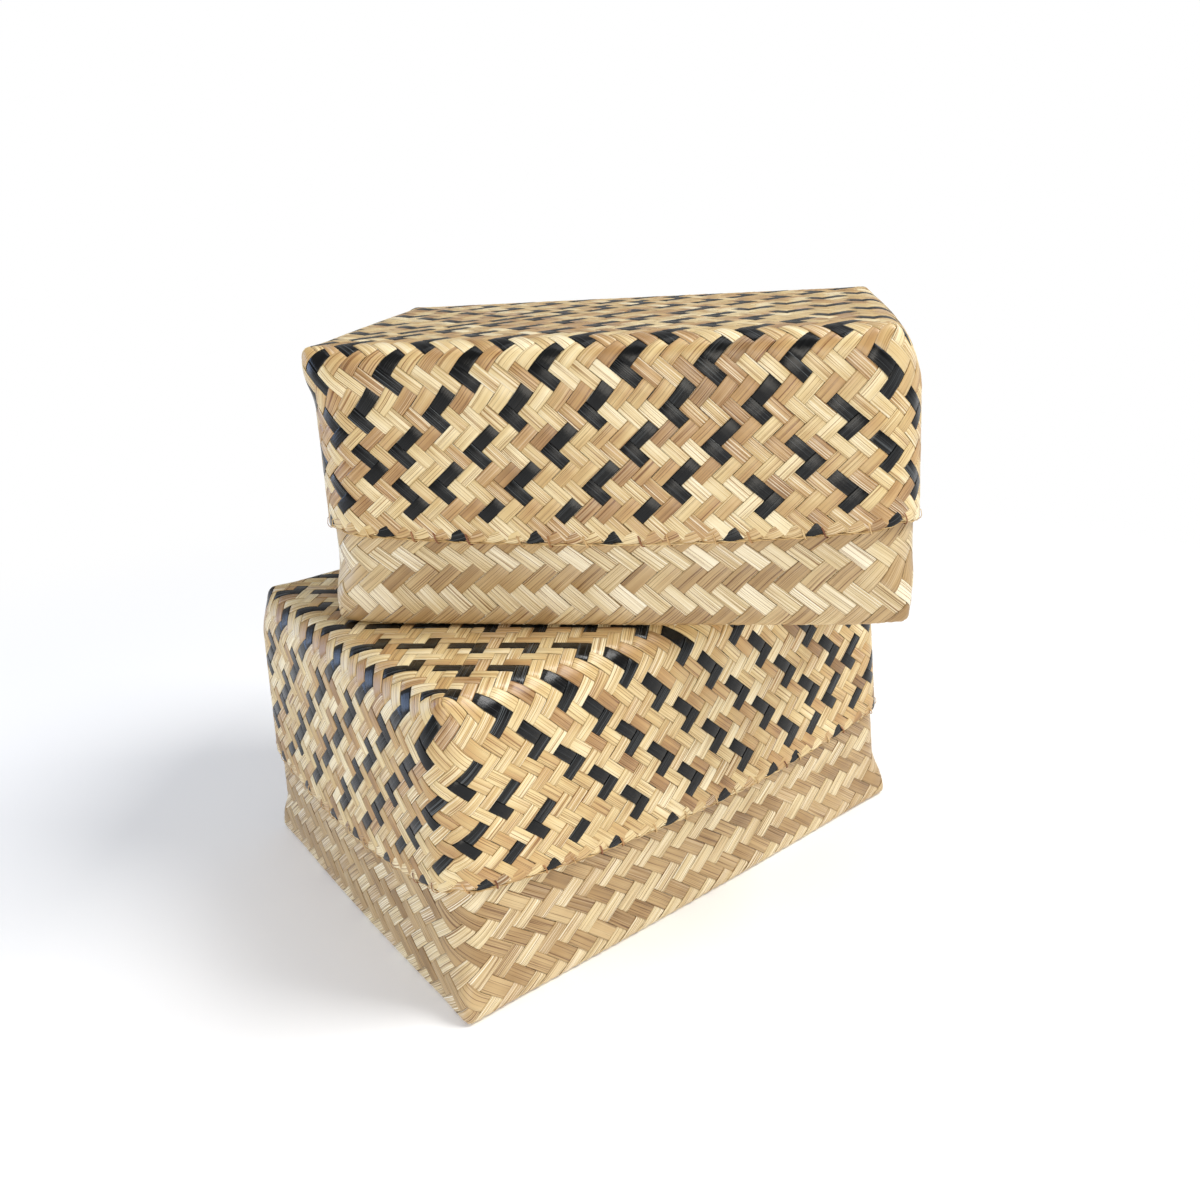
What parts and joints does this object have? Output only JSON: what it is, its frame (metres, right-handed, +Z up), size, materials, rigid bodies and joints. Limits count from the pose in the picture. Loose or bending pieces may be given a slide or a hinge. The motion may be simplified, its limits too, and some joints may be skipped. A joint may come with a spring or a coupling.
{
  "type": "lidded woven storage baskets",
  "caption": "Stacked set of rectangular bamboo storage baskets, each a tray with a deep telescoping lid, twill woven on the bias with dark angled flecks.",
  "frame": {"origin": "centre of the large tray's underside, on the surface that the set stands on", "axes": "+Z up, out of the small lid's top; +X along the large basket's long side, +Y along its short side"},
  "size_m": [0.3416, 0.3216, 0.2973],
  "materials": {
    "tray_weave": "split bamboo strip, satin, twill woven",
    "lid_weave": "split bamboo strip with some strips dyed black, satin, twill woven",
    "lining_weave": "split bamboo strip, matte, plain woven",
    "rim_hoop": "flat bamboo splint, matte",
    "rim_cord": "twisted plant fibre twine"
  },
  "bodies": {
    "large_tray": {"large_tray_weave": "tray_weave", "large_tray_lining": "lining_weave", "large_tray_rim_hoop": "rim_hoop", "large_tray_rim_cord": "rim_cord"},
    "large_lid": {"large_lid_weave": "lid_weave", "large_lid_lining": "lining_weave", "large_lid_rim_hoop": "rim_hoop", "large_lid_rim_cord": "rim_cord"},
    "small_tray": {"small_tray_weave": "tray_weave", "small_tray_lining": "lining_weave", "small_tray_rim_hoop": "rim_hoop", "small_tray_rim_cord": "rim_cord"},
    "small_lid": {"small_lid_weave": "lid_weave", "small_lid_lining": "lining_weave", "small_lid_rim_hoop": "rim_hoop", "small_lid_rim_cord": "rim_cord"}
  },
  "joints": [
    {"name": "large_lid_lift", "type": "slide", "parent": "large_tray", "child": "large_lid", "axis": [0, 0, 1], "range_m": [0, 0.11]},
    {"name": "small_basket_lift", "type": "slide", "parent": "large_lid", "child": "small_tray", "axis": [0, 0, 1], "range_m": [0, 0.1]},
    {"name": "small_lid_lift", "type": "slide", "parent": "small_tray", "child": "small_lid", "axis": [0, 0, 1], "range_m": [0, 0.105]}
  ]
}
